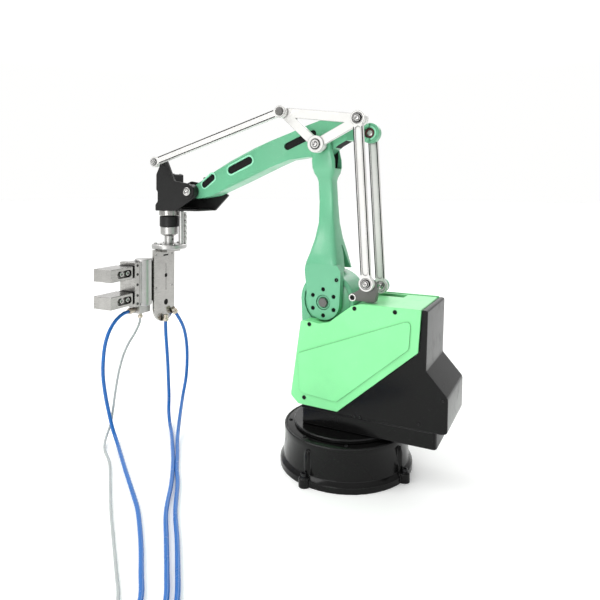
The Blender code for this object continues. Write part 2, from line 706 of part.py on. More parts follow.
def make_tool():
    origin = (TOOL_AXIS_X * MM, 0.0, 0.0)
    centre = (TOOL_AXIS_X, 0, 0)
    coupling = [(0, 345.5), (15.5, 345.5), (17, 347), (17, 364), (16, 365.2), (0, 365.2)]
    turned("j4_coupling", coupling, centre, "Z", "matt_black", 28, origin)
    hub = [(0, 314.8), (8.5, 314.8), (8.5, 329), (13.5, 331.5), (15.5, 333), (15.5, 345.2), (0, 345.2)]
    turned("j4_hub", hub, centre, "Z", "brushed_aluminium", 28, origin)
    disc = [(0, 306.4), (29.8, 306.4), (31, 307.6), (31, 313.2), (29.8, 314.5), (0, 314.5)]
    turned("tool_disc", disc, centre, "Z", "brushed_aluminium", 40, origin)
    post = [(0, 314.8), (4.6, 314.8), (4.6, 373.6), (3.6, 374.6), (0, 374.6)]
    turned("guide_post", post, (321, -4, 0), "Z", "brushed_aluminium", 16, origin)
    ribs = [(0, 314.8), (3.2, 314.8)]
    for i in range(5):
        low = 320 + i * 10
        ribs += [(3.2, low), (4.0, low + 1.2), (4.0, low + 6.0), (3.2, low + 7.2)]
    ribs += [(3.2, 371.5), (0, 371.5)]
    turned("sensor_stem", ribs, (324.0, -18.0, 0), "Z", "steel", 12, origin)

    # The hanging plate faces back towards the base, and a foot at its top is screwed to the disc.
    plate_x = (347.0, 352.0)
    outline = arc((10, 203), 27, 180, 360, 14) + [(37, 306.1), (-17, 306.1)]
    plate = prism("gripper_plate", outline, plate_x, "brushed_aluminium", "X", origin, edge=0.5)
    join(plate, box("plate_foot", (333, 351), (-16, 20), (301.2, 306.1)))
    holes = (("upper", 258.2, 3.7), ("lower", 210.0, 5.4))
    for name, z, radius in holes:
        bar = [(0, 330), (radius, 330), (radius, 370), (0, 370)]
        cut(plate, turned("plate_hole_" + name, bar, (0, 6.5, z), "X", None, 16))
    cut(plate, box("plate_slit", (340, 348), (6.0, 7.0), (232, 280)))

    body_x = (352.4, 384)
    body = box("gripper_body", body_x, (4, 66), (216.5, 287.5), "brushed_aluminium", origin, edge=1.0)
    cylinder = [(0, 212), (13.5, 212), (14.5, 213), (14.5, 291), (13.5, 292), (0, 292)]
    join(body, turned("gripper_cylinder", cylinder, (360.5, 50, 0), "Z", None, 24))
    join(body, box("port_block", (356, 380), (38, 64), (198.5, 218)))
    box("gripper_rail", (352.6, 388), (66.4, 78), (212.5, 288.5), "steel", origin, edge=0.8)
    for name, z in (("upper", 272.4), ("lower", 228.0)):
        base = (0, 0, z * MM)
        height = (z - 10.4, z + 10.4)
        box(name + "_jaw", (357, 386), (78.3, 83.7), height, "matt_black", base, edge=0.4)
        finger = box(
            name + "_finger", (352, 390), (84, 133.5), height, "brushed_aluminium", base, edge=0.6
        )
        slot = stadium((92.5, z), (113, z), 6.2, 6)
        cut(finger, prism(name + "_slot", slot, (345, 359), axis="X"))


# Air fittings and tubes -------------------------------------------------------------------

# Each tube leaves the mouth of its fitting, hangs down to the surface and runs along it.
TUBE_ROUTES = {
    "air_tube_left": (3.0, [
        (368, 78.6, 204), (368.5, 88, 203.2), (370, 99, 198), (372.5, 110, 187), (374.5, 119, 170),
        (375.5, 125, 146), (375.5, 127, 110), (374, 122.5, 72), (370, 118.5, 42), (364, 118, 22),
        (354, 121, 9.5), (336, 133, 4.5), (305, 157, 4.2), (269, 185, 4.2), (215, 226, 4.2),
        (181, 253, 4.2), (135, 297, 4.2), (98, 336, 4.2), (71, 366, 4.2), (48, 408, 4.2),
        (30, 450, 4.2),
    ]),
    "air_tube_clear": (2.0, [
        (366, 52, 188), (366.2, 52.6, 182), (366.8, 56, 174), (367.8, 64, 163), (369, 76, 150),
        (370, 87, 133), (370.4, 97, 108), (371, 104, 78), (373, 108, 46), (374, 112, 24),
        (372, 122, 10), (362, 136, 4.8), (345, 152, 3.3), (308, 178, 3.2), (262, 221, 3.2),
        (213, 267, 3.2), (170, 305, 3.2), (128, 342, 3.2), (91, 376, 3.2), (66, 415, 3.2),
        (46, 456, 3.2),
    ]),
    "air_tube_middle": (3.0, [
        (341, 14.5, 177.2), (341, 14.6, 168), (341, 13.5, 150), (341, 11, 125), (341, 8.5, 98),
        (341, 7, 70), (338, 9, 42), (330, 19, 19), (313, 36, 6.5), (289, 60, 4.2), (257, 96, 4.2),
        (225, 133, 4.2), (187, 182, 4.2), (149, 237, 4.2), (110, 282, 4.2), (76, 321, 4.2),
        (48, 355, 4.2), (22, 400, 4.2), (5, 442, 4.2),
    ]),
    "air_tube_right": (3.0, [
        (340.8, -12.6, 187.4), (340.4, -16.6, 182), (340, -24, 172), (340, -33, 158),
        (341, -41, 140), (341.5, -46, 116), (341, -46, 90), (337, -38, 62), (326, -16, 40),
        (307, 14, 26), (286, 45, 15), (262, 78, 6.5), (237, 108, 4.3), (207, 146, 4.2),
        (179, 178, 4.2), (139, 231, 4.2), (100, 275, 4.2), (67, 314, 4.2), (39, 349, 4.2),
        (13, 393, 4.2), (-4, 436, 4.2),
    ]),
}


def smooth_route(points, pitch):
    """Points a pitch apart on a Catmull-Rom curve through the route's own points."""
    knots = [Vector(p) for p in points]
    knots = [2 * knots[0] - knots[1]] + knots + [2 * knots[-1] - knots[-2]]
    dense = []
    for a, b, c, d in zip(knots, knots[1:], knots[2:], knots[3:]):
        for i in range(40):
            t = i / 40
            bend = (2 * a - 5 * b + 4 * c - d) * t**2 + (3 * b - a - 3 * c + d) * t**3
            dense.append(0.5 * (2 * b + (c - a) * t + bend))
    dense.append(knots[-2])
    lengths = [0.0]
    for one, two in zip(dense, dense[1:]):
        lengths.append(lengths[-1] + (two - one).length)
    count = round(lengths[-1] / pitch)
    made, k = [], 0
    for i in range(count + 1):
        wanted = lengths[-1] * i / count
        while k < len(lengths) - 2 and lengths[k + 1] < wanted:
            k += 1
        t = (wanted - lengths[k]) / (lengths[k + 1] - lengths[k])
        made.append(dense[k].lerp(dense[k + 1], min(max(t, 0), 1)))
    return made


def make_tube(name, radius, points, finish):
    route = smooth_route(points, 6.0 * radius)
    curve = bpy.data.curves.new(name, "CURVE")
    curve.dimensions = "3D"
    curve.bevel_depth = radius * MM
    curve.bevel_resolution = 2
    curve.use_fill_caps = True
    spline = curve.splines.new("POLY")
    spline.points.add(len(route) - 1)
    for place_here, spot in zip(spline.points, route):
        place_here.co = (*(spot * MM), 1.0)
    curve.materials.append(material(finish))
    obj = bpy.data.objects.new(name, curve)
    bpy.context.scene.collection.objects.link(obj)


def make_fitting(name, route, radius, length, finish, origin):
    """A push-in fitting: a turned body in line with the tube's first stretch, its mouth at the tube."""
    start, towards = Vector(route[0]), (Vector(route[1]) - Vector(route[0])).normalized()
    profile = [
        (0, -length),
        (radius - 1.2, -length),
        (radius - 1.2, -length * 0.55),
        (radius, -length * 0.5),
        (radius, -1.6),
        (radius - 0.8, -2 * GAP),
        (0, -2 * GAP),
    ]
    bm = turned_mesh(profile, (0, 0, 0), "Z", 16)
    turn = towards.to_track_quat("Z", "Y").to_matrix().to_4x4()
    bmesh.ops.transform(bm, matrix=Matrix.Translation(start * MM) @ turn, verts=bm.verts)
    return place(name, bm, finish, origin)


def make_air_lines():
    origin = (TOOL_AXIS_X * MM, 0.0, 0.0)
    fittings = (("left", 5.4, 14), ("clear", 4.2, 10.2), ("middle", 5.4, 12), ("right", 5.4, 12))
    for name, radius, length in fittings:
        size, route = TUBE_ROUTES["air_tube_" + name]
        make_fitting("fitting_" + name, route, radius, length, "brass", origin)
        make_tube("air_tube_" + name, size, route, "clear_tube" if name == "clear" else "blue_tube")


clear_scene()
make_base()
make_turntable()
make_frame()
make_shell()
make_cover("side_cover_left", 1)
make_cover("side_cover_right", -1)
make_casing()
make_rod_bracket()
make_lower_arm()
make_triangle()
make_links()
make_forearm()
make_wrist()
make_tool()
make_air_lines()
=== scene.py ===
import json
import math

import bmesh
import bpy
from mathutils import Matrix, Vector


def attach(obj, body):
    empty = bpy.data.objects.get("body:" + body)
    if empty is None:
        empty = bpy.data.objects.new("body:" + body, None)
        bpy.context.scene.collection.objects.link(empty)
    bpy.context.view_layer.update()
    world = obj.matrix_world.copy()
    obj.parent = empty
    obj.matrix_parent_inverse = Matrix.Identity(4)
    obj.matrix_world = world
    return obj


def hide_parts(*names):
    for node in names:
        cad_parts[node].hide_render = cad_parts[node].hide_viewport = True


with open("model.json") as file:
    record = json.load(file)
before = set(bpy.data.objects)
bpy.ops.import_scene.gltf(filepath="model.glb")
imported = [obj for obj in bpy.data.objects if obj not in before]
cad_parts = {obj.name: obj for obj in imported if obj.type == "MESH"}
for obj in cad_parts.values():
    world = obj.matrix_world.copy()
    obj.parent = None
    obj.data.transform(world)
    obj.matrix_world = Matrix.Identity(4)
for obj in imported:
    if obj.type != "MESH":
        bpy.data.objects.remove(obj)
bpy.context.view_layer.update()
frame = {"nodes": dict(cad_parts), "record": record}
nodes = frame["nodes"]

MM = 0.001
COLLECTION = bpy.context.scene.collection

# Joint axes in the arm's middle plane, mm (x, z)
SHOULDER = (20.0, 245.0)
ELBOW = (32.763, 480.655)
WRIST = (281.249, 409.403)
ROD_FOOT = (-50.0, 279.0)
TRIANGLE_REAR = (-37.237, 514.655)
TRIANGLE_FRONT = (88.763, 532.055)
WRIST_TOP = (337.249, 460.803)
CRANK_PIN = (-46.0, 263.6)
TAIL_PIN = (-33.237, 499.255)
TOOL_AXIS_X = 345.0

# Camera -----------------------------------------------------------------------------------

camera_data = bpy.data.cameras.new("camera")
camera = bpy.data.objects.new("camera", camera_data)
COLLECTION.objects.link(camera)
camera.location = (-0.31352, 0.77617, 0.41044)
camera.rotation_euler = (math.radians(90.0), 0.0, math.radians(206.80))
camera_data.sensor_width = 36.0
camera_data.lens = 32.64
camera_data.shift_y = -0.1817
camera_data.clip_start = 0.01
bpy.context.scene.camera = camera

# Light and floor --------------------------------------------------------------------------


def area_light(name, spot, aim, size, power):
    """A rectangular lamp at a spot, turned towards its aim."""
    data = bpy.data.lights.new(name, "AREA")
    data.shape = "RECTANGLE"
    data.size, data.size_y = size
    data.energy = power
    lamp = bpy.data.objects.new(name, data)
    COLLECTION.objects.link(lamp)
    lamp.location = spot
    lamp.rotation_euler = (Vector(aim) - Vector(spot)).to_track_quat("-Z", "Y").to_euler()


area_light("key", (1.3, 1.2, 2.1), (0.05, 0.0, 0.3), (1.3, 1.3), 29.0)
area_light("front", (0.1, 1.9, 0.55), (0.05, 0.0, 0.2), (0.7, 0.7), 9.5)
area_light("rim", (0.4, -1.9, 1.5), (0.1, 0.0, 0.3), (1.8, 0.9), 9.0)

bpy.context.scene.view_settings.view_transform = "Standard"


def studio_world():
    """A pale room: brightest behind the object, softer overhead, dim behind the camera."""
    world = bpy.data.worlds.new("studio")
    bpy.context.scene.world = world
    world.use_nodes = True
    tree = world.node_tree
    where = tree.nodes.new("ShaderNodeTexCoord").outputs["Generated"]

    def ramp(direction, low, high, to_low, to_high):
        dot = tree.nodes.new("ShaderNodeVectorMath")
        dot.operation = "DOT_PRODUCT"
        dot.inputs[1].default_value = direction
        tree.links.new(where, dot.inputs[0])
        node = tree.nodes.new("ShaderNodeMapRange")
        for name, value in zip(("From Min", "From Max", "To Min", "To Max"), (low, high, to_low, to_high)):
            node.inputs[name].default_value = value
        tree.links.new(dot.outputs["Value"], node.inputs["Value"])
        return node.outputs["Result"]

    add = tree.nodes.new("ShaderNodeMath")
    tree.links.new(ramp((0.451, -0.893, 0.0), 0.1, 0.8, 0.26, 1.0), add.inputs[0])
    tree.links.new(ramp((0.0, 0.0, 1.0), 0.2, 1.0, 0.0, 0.85), add.inputs[1])
    background = tree.nodes["Background"]
    background.inputs["Color"].default_value = (1.0, 1.0, 0.995, 1.0)
    tree.links.new(add.outputs["Value"], background.inputs["Strength"])


studio_world()

# Materials --------------------------------------------------------------------------------


class Shader:
    """A material's node tree, with a short call for each kind of node the finishes share."""

    def __init__(self, name):
        self.material = bpy.data.materials.new(name)
        self.material.use_nodes = True
        self.tree = self.material.node_tree
        self.bsdf = self.tree.nodes["Principled BSDF"]
        self.where = self.add("ShaderNodeTexCoord").outputs["Object"]

    def add(self, kind, **settings):
        node = self.tree.nodes.new(kind)
        for key, value in settings.items():
            setattr(node, key, value)
        return node

    def link(self, source, target):
        if isinstance(source, (int, float)):
            target.default_value = source
        elif isinstance(source, (tuple, list)):
            target.default_value = tuple(source)
        else:
            self.tree.links.new(source, target)

    def set(self, **values):
        for name, value in values.items():
            self.link(value, self.bsdf.inputs[name.replace("_", " ")])

    def noise(self, scale, detail=3.0, roughness=0.5, stretch=None, distortion=0.0):
        """Noise with features about 1/scale metres across, drawn out along an axis by stretch."""
        node = self.add("ShaderNodeTexNoise")
        node.inputs["Scale"].default_value = scale
        node.inputs["Detail"].default_value = detail
        node.inputs["Roughness"].default_value = roughness
        node.inputs["Distortion"].default_value = distortion
        where = self.where
        if stretch:
            mapping = self.add("ShaderNodeMapping")
            mapping.inputs["Scale"].default_value = stretch
            self.link(where, mapping.inputs["Vector"])
            where = mapping.outputs["Vector"]
        self.link(where, node.inputs["Vector"])
        return node.outputs["Fac"]

    def range(self, value, low, high, to_low=0.0, to_high=1.0):
        node = self.add("ShaderNodeMapRange")
        node.inputs["From Min"].default_value = low
        node.inputs["From Max"].default_value = high
        node.inputs["To Min"].default_value = to_low
        node.inputs["To Max"].default_value = to_high
        self.link(value, node.inputs["Value"])
        return node.outputs["Result"]

    def math(self, operation, a, b=0.0):
        node = self.add("ShaderNodeMath", operation=operation)
        self.link(a, node.inputs[0])
        self.link(b, node.inputs[1])
        return node.outputs["Value"]

    def mix(self, factor, one, two):
        node = self.add("ShaderNodeMix", data_type="RGBA")
        self.link(factor, node.inputs["Factor"])
        self.link(one, node.inputs["A"])
        self.link(two, node.inputs["B"])
        return node.outputs["Result"]

    def edges(self, radius):
        """1 on corners and edges rounder than the radius, 0 on flat faces, and the rounded normal."""
        bevel = self.add("ShaderNodeBevel", samples=6)
        bevel.inputs["Radius"].default_value = radius
        flat = self.add("ShaderNodeNewGeometry").outputs["Normal"]
        dot = self.add("ShaderNodeVectorMath", operation="DOT_PRODUCT")
        self.link(bevel.outputs["Normal"], dot.inputs[0])
        self.link(flat, dot.inputs[1])
        return self.range(dot.outputs["Value"], 0.99, 0.86), bevel.outputs["Normal"]

    def painted_crevice_shade(self, reach, depth):
        """Painted shade: 1 on open faces, falling to 1 - depth in corners narrower than reach."""
        node = self.add("ShaderNodeAmbientOcclusion", samples=6)
        node.inputs["Distance"].default_value = reach
        return self.range(node.outputs["AO"], 0.35, 0.9, 1.0 - depth, 1.0)

    def shaded(self, colour, amount):
        """The colour multiplied by a grey amount."""
        node = self.add("ShaderNodeMix", data_type="RGBA", blend_type="MULTIPLY")
        node.inputs["Factor"].default_value = 1.0
        grey = self.add("ShaderNodeCombineColor")
        for channel in ("Red", "Green", "Blue"):
            self.link(amount, grey.inputs[channel])
        self.link(colour, node.inputs["A"])
        self.link(grey.outputs["Color"], node.inputs["B"])
        return node.outputs["Result"]

    def bump(self, height, distance, normal=None):
        node = self.add("ShaderNodeBump")
        node.inputs["Distance"].default_value = distance
        node.inputs["Strength"].default_value = 1.0
        self.link(height, node.inputs["Height"])
        if normal is not None:
            self.link(normal, node.inputs["Normal"])
        return node.outputs["Normal"]


def rgba(colour, gain=1.0):
    return (*(min(1.0, c * gain) for c in colour), 1.0)


def painted(
    name,
    colour,
    roughness,
    grain,
    coat=0.0,
    dust=0.25,
    wear_and_highlight=None,
    specular=0.5,
    rim=None,
    round_edge=0.0007,
):
    """Sprayed paint: orange peel over the casting's grain, a slow drift of tone, dust, lighter flecks on
    edges that are partly wear and partly painted highlight, and painted shade in its corners.

    Grain is the bump's height, m. Rim is the tone of narrow edges: a painted highlight where it is lighter
    than the paint, painted shade where it is darker. Wear is the tone of the edge flecks, partly wear and
    partly painted highlight.
    """
    shade = Shader(name)
    drift = shade.noise(14.0, 4.0, 0.6)
    fine = shade.noise(700.0, 2.0)
    peel = shade.noise(260.0, 2.0, 0.4)
    edge, soft = shade.edges(round_edge)
    specks = shade.range(shade.noise(900.0, 1.0), 0.70, 0.78)
    smudge = shade.range(shade.noise(38.0, 5.0, 0.7, distortion=0.6), 0.48, 0.75)
    base = shade.mix(shade.range(drift, 0.3, 0.7), rgba(colour, 0.93), rgba(colour, 1.05))
    base = shade.mix(shade.math("MULTIPLY", specks, dust), base, rgba((0.75, 0.75, 0.72)))
    # Lighter flecks on edges: partly wear, partly painted highlight.
    chips_and_highlights = shade.math("MULTIPLY", edge, shade.range(shade.noise(320.0, 3.0, 0.7), 0.45, 0.6))
    worn_and_lit = wear_and_highlight or tuple(min(1.0, c * 1.35 + 0.02) for c in colour)
    base = shade.mix(shade.math("MULTIPLY", chips_and_highlights, 0.45), base, rgba(worn_and_lit))
    # Painted light on narrow edges: a painted highlight when the rim tone is lighter, painted shade when
    # darker.
    if rim:
        base = shade.mix(shade.math("MULTIPLY", shade.edges(0.0016)[0], 0.75), base, rgba(rim))
    # Painted shade: the paint is darkened in its corners and crevices.
    base = shade.shaded(base, shade.painted_crevice_shade(0.004, 0.55))
    rough = shade.range(smudge, 0.0, 1.0, roughness, min(1.0, roughness + 0.16))
    rough = shade.math("ADD", rough, shade.range(fine, 0.3, 0.7, -0.03, 0.03))
    height = shade.math("ADD", shade.math("MULTIPLY", peel, 0.7), shade.math("MULTIPLY", fine, 0.3))
    shade.set(Base_Color=base, Roughness=rough, Coat_Weight=coat, Coat_Roughness=0.12)
    shade.set(Specular_IOR_Level=specular, Normal=shade.bump(height, grain, soft))
    return shade.material


def metal(name, colour, roughness, stretch=(900.0, 900.0, 900.0), tarnish=0.15):
    """Machined metal: tool marks drawn out along one axis, faint tarnish, a painted highlight on its edges
    and painted shade in its corners.
    """
    shade = Shader(name)
    marks = shade.noise(1.0, 4.0, 0.65, stretch)
    cloud = shade.noise(45.0, 5.0, 0.65)
    edge, soft = shade.edges(0.0005)
    base = shade.mix(shade.range(cloud, 0.35, 0.7), rgba(colour), rgba(colour, 1.0 - tarnish))
    base = shade.mix(shade.range(marks, 0.35, 0.7, 0.0, 0.5), base, rgba(colour, 0.8))
    # Painted highlight: the edges are painted brighter.
    base = shade.mix(shade.math("MULTIPLY", edge, 0.6), base, rgba(colour, 1.25))
    # Painted shade: the metal is darkened in its corners and crevices.
    base = shade.shaded(base, shade.painted_crevice_shade(0.003, 0.6))
    rough = shade.range(marks, 0.3, 0.7, roughness - 0.07, roughness + 0.09)
    rough = shade.math("ADD", rough, shade.range(cloud, 0.4, 0.7, 0.0, 0.08))
    shade.set(Base_Color=base, Metallic=1.0, Roughness=rough, Normal=shade.bump(marks, 0.00002, soft))
    return shade.material


def shade_and_screw_black(name, colour, roughness):
    """Nearly black matt finish, faintly dusty: painted shade on plates in pockets, gaps and a slot, and the
    colour of some screws.
    """
    shade = Shader(name)
    dust = shade.range(shade.noise(420.0, 4.0, 0.7), 0.5, 0.75)
    shade.set(Base_Color=shade.mix(dust, rgba(colour), rgba((0.02, 0.02, 0.02))))
    shade.set(Roughness=shade.range(dust, 0.0, 1.0, roughness, roughness + 0.1), Specular_IOR_Level=0.2)
    shade.set(Normal=shade.bump(dust, 0.00003))
    return shade.material


def plastic(name, colour, roughness, transmission=0.0):
    """Extruded or moulded plastic with a fine skin and handling marks."""
    shade = Shader(name)
    skin = shade.noise(900.0, 2.0)
    smudge = shade.noise(70.0, 5.0, 0.7)
    base = shade.mix(shade.range(smudge, 0.35, 0.7), rgba(colour), rgba(colour, 0.88))
    rough = shade.range(smudge, 0.35, 0.75, roughness, roughness + 0.12)
    shade.set(Base_Color=base, Roughness=rough, Transmission_Weight=transmission)
    shade.set(Normal=shade.bump(skin, 0.00001))
    return shade.material


# A faint lighter tone for the edge flecks on black paint: partly wear, partly painted highlight.
FAINT_WEAR_AND_HIGHLIGHT = (0.03, 0.03, 0.03)
PAINTS = {
    "green_paint": dict(colour=(0.128, 0.445, 0.250), roughness=0.34, grain=0.00008, coat=0.2),
    # A lighter copy of green_paint, for painted highlights on lips and rings of the green castings.
    "lit_green_paint": dict(colour=(0.30, 0.76, 0.50), roughness=0.30, grain=0.00004, coat=0.3),
    "light_green_paint": dict(colour=(0.225, 0.760, 0.310), roughness=0.34, grain=0.00002, coat=0.2),
    "gloss_black": dict(
        colour=(0.005, 0.005, 0.005),
        roughness=0.15,
        grain=0.00003,
        coat=0.06,
        dust=0.03,
        wear_and_highlight=FAINT_WEAR_AND_HIGHLIGHT,
        specular=0.13,
        # Painted highlight: the narrow edges are painted lighter.
        rim=(0.07, 0.07, 0.072),
        round_edge=0.0024,
    ),
    "matt_black": dict(
        colour=(0.007, 0.007, 0.007),
        roughness=0.44,
        grain=0.00005,
        dust=0.03,
        wear_and_highlight=FAINT_WEAR_AND_HIGHLIGHT,
        specular=0.35,
    ),
    "motor_black": dict(
        colour=(0.007, 0.007, 0.008),
        roughness=0.36,
        grain=0.00004,
        dust=0.03,
        wear_and_highlight=FAINT_WEAR_AND_HIGHLIGHT,
        specular=0.3,
    ),
    "white_aluminium": dict(
        colour=(0.74, 0.73, 0.71),
        roughness=0.30,
        grain=0.00002,
        coat=0.2,
        dust=0.0,
        # Painted shade: the narrow edges are painted darker, as dark outlines.
        rim=(0.16, 0.16, 0.155),
    ),
    "grey_steel": dict(
        colour=(0.12, 0.115, 0.11),
        roughness=0.45,
        grain=0.00006,
        dust=0.05,
        wear_and_highlight=(0.3, 0.3, 0.3),
    ),
}
METALS = {
    "brushed_aluminium": dict(colour=(0.44, 0.43, 0.415), roughness=0.22, stretch=(60.0, 60.0, 1400.0)),
    "polished_aluminium": dict(colour=(0.52, 0.515, 0.505), roughness=0.34),
    "steel": dict(colour=(0.60, 0.59, 0.58), roughness=0.17),
    "fitting_brass": dict(colour=(0.62, 0.55, 0.46), roughness=0.24, tarnish=0.25),
}
PLASTICS = {
    "red_insert": dict(colour=(0.10, 0.02, 0.02), roughness=0.4),
    "blue_tube": dict(colour=(0.004, 0.130, 0.46), roughness=0.20),
    "clear_tube": dict(colour=(0.50, 0.54, 0.54), roughness=0.18, transmission=0.25),
}
# dark_lining is the black of the painted shade plates, and of some screws.
FINISHES = {"dark_lining": shade_and_screw_black("dark_lining", (0.006, 0.006, 0.006), 0.7)}
for make, family in ((painted, PAINTS), (metal, METALS), (plastic, PLASTICS)):
    for name, look in family.items():
        FINISHES[name] = make(name, **look)


def smoothing_group(angle):
    """Geometry nodes that weld a faceted mesh and smooth it, but not over edges sharper than the angle."""
    group = bpy.data.node_groups.new("weld_and_smooth", "GeometryNodeTree")
    group.interface.new_socket("Geometry", in_out="INPUT", socket_type="NodeSocketGeometry")
    group.interface.new_socket("Geometry", in_out="OUTPUT", socket_type="NodeSocketGeometry")

    def add(kind):
        return group.nodes.new(kind)

    start, end = add("NodeGroupInput"), add("NodeGroupOutput")
    clean = add("GeometryNodeRemoveAttribute")
    clean.inputs["Name"].default_value = "custom_normal"
    weld = add("GeometryNodeMergeByDistance")
    weld.inputs["Distance"].default_value = 0.002 * MM
    faces, edges = add("GeometryNodeSetShadeSmooth"), add("GeometryNodeSetShadeSmooth")
    edges.domain = "EDGE"
    edges.inputs["Shade Smooth"].default_value = False
    bend = add("GeometryNodeInputMeshEdgeAngle")
    sharp = add("FunctionNodeCompare")
    sharp.operation = "GREATER_THAN"
    sharp.inputs["B"].default_value = math.radians(angle)
    group.links.new(bend.outputs["Unsigned Angle"], sharp.inputs["A"])
    group.links.new(sharp.outputs["Result"], edges.inputs["Selection"])
    chain = [start, clean, weld, faces, edges, end]
    for one, two in zip(chain, chain[1:]):
        group.links.new(one.outputs[0], two.inputs[0])
    return group


SMOOTHING = smoothing_group(32.0)

for part in frame["record"]["subparts"]:
    node = nodes[part["node"]]
    node.data.materials.clear()
    node.data.materials.append(FINISHES[part["material_slot"]])
    node.modifiers.new("weld_and_smooth", "NODES").node_group = SMOOTHING


# Pieces -----------------------------------------------------------------------------------

# Turns from +Z to the axis that a fastener or a turned piece points along.
AXES = {
    "-X": Matrix.Rotation(math.radians(-90), 4, "Y"),
    "+Y": Matrix.Rotation(math.radians(-90), 4, "X"),
    "-Y": Matrix.Rotation(math.radians(90), 4, "X"),
    "+Z": Matrix.Identity(4),
}


def piece(name, bm, body, slot, stands_for=(), sharp=35.0):
    """Makes an object of a mesh given in metres in the row frame, and lets it ride on a body."""
    bmesh.ops.recalc_face_normals(bm, faces=bm.faces)
    mesh = bpy.data.meshes.new(name)
    bm.to_mesh(mesh)
    bm.free()
    mesh.shade_smooth()
    mesh.set_sharp_from_angle(angle=math.radians(sharp))
    mesh.materials.append(FINISHES[slot])
    obj = bpy.data.objects.new(name, mesh)
    COLLECTION.objects.link(obj)
    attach(obj, body)
    if stands_for:
        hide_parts(*stands_for)
    return obj


def ring_of(bm, radii, height):
    """A ring of points at a height. Each radius belongs to one of the equal steps round the axis."""
    count = len(radii)
    return [
        bm.verts.new((r * math.cos(2 * math.pi * i / count), r * math.sin(2 * math.pi * i / count), height))
        for i, r in enumerate(radii)
    ]


def skin(bm, rings, closed=True):
    """Faces between neighbouring rings of points, and over both ends when closed."""
    for one, two in zip(rings, rings[1:]):
        for i in range(len(one)):
            j = (i + 1) % len(one)
            bm.faces.new((one[i], one[j], two[j], two[i]))
    if closed:
        bm.faces.new(rings[0])
        bm.faces.new(rings[-1])


def stand(bm, spot, axis):
    """Puts a mesh made in mm round +Z at a spot in mm, with its +Z along an axis."""
    place = Matrix.Scale(MM, 4) @ Matrix.Translation(spot) @ AXES[axis]
    bmesh.ops.transform(bm, matrix=place, verts=bm.verts)
    return bm


def turned(name, profile, spot, axis, body, slot, steps=48, stands_for=()):
    """A ring: (radius, height) points in mm, joined end to end and turned round the axis."""
    bm = bmesh.new()
    rings = [ring_of(bm, [radius] * steps, height) for radius, height in profile]
    skin(bm, rings + rings[:1], closed=False)
    return piece(name, stand(bm, spot, axis), body, slot, stands_for)


def hexagon(across, steps):
    """Radii of a hexagon's outline, by its width across flats."""
    sector = math.pi / 3
    return [
        across / 2 / math.cos((2 * math.pi * i / steps) % sector - sector / 2) for i in range(steps)
    ]


def socket_screw(name, spot, axis, body, radius, height, slot="steel"):
    """A cylinder-head screw: chamfered rim, hexagon socket with a coned floor."""
    steps = 24
    depth = height * 0.55
    edge = radius * 0.12
    bm = bmesh.new()
    flats = hexagon(radius, steps)
    rings = [
        ring_of(bm, [radius] * steps, -0.3),
        ring_of(bm, [radius] * steps, height - edge),
        ring_of(bm, [radius - edge * 0.35] * steps, height - edge * 0.3),
        ring_of(bm, [radius - edge] * steps, height),
        ring_of(bm, [f + radius * 0.10 for f in flats], height),
        ring_of(bm, flats, height - radius * 0.07),
        ring_of(bm, flats, height - depth),
        ring_of(bm, [radius * 0.18] * steps, height - depth - radius * 0.16),
    ]
    skin(bm, rings)
    return piece(name, stand(bm, spot, axis), body, slot)


def washer(name, spot, axis, body, inner, outer, thickness, slot="steel"):
    """A flat ring with chamfered edges."""
    edge = min(0.25, thickness * 0.3)
    profile = [
        (inner, 0),
        (outer - edge, 0),
        (outer, edge),
        (outer, thickness - edge),
        (outer - edge, thickness),
        (inner + edge, thickness),
        (inner, thickness - edge),
    ]
    return turned(name, profile, spot, axis, body, slot, 40)


def bearing(name, xz, span, inner, outer, body, stands_for):
    """A shielded ball bearing seen end on: races with rounded rims and a sunk shield between them."""
    low, high = span
    wall = (outer - inner) * 0.27
    sink = 0.55
    profile = [
        (inner, low + 0.3),
        (inner + 0.3, low),
        (inner + wall, low),
        (inner + wall, low + sink),
        (outer - wall, low + sink),
        (outer - wall, low),
        (outer - 0.3, low),
        (outer, low + 0.3),
        (outer, high - 0.3),
        (outer - 0.3, high),
        (outer - wall, high),
        (outer - wall, high - sink),
        (inner + wall, high - sink),
        (inner + wall, high),
        (inner + 0.3, high),
        (inner, high - 0.3),
    ]
    # Turned about Y: heights run along +Y.
    return turned(name, profile, (xz[0], 0, xz[1]), "+Y", body, "steel", 48, stands_for)


def round_circle(centre, radius, count, first):
    """Evenly spaced two-number points on a circle, from an angle in degrees."""
    turns = [math.radians(first + 360 * i / count) for i in range(count)]
    return [(centre[0] + radius * math.cos(turn), centre[1] + radius * math.sin(turn)) for turn in turns]


# Pivots -----------------------------------------------------------------------------------

# Name, pivot, span along Y, bore radius, body and the CAD piece that it stands for.
BEARINGS = (
    ("elbow", ELBOW, (32.0, 40.0), 5.3, "triangle", "elbow_bearing"),
    ("lower", ROD_FOOT, (42.6, 48.4), 3.3, "level_rod_lower", "level_rod_bearing_lower"),
    ("middle", TRIANGLE_REAR, (42.6, 48.4), 3.3, "level_rod_lower", "level_rod_bearing_middle"),
    ("drive", CRANK_PIN, (-33.4, -27.6), 3.3, "crank_pin", "drive_rod_bearing"),
)
for word, pivot, span, bore, body, plain in BEARINGS:
    bearing(f"{word}_bearing_races", pivot, span, bore, 8.0, body, [plain])


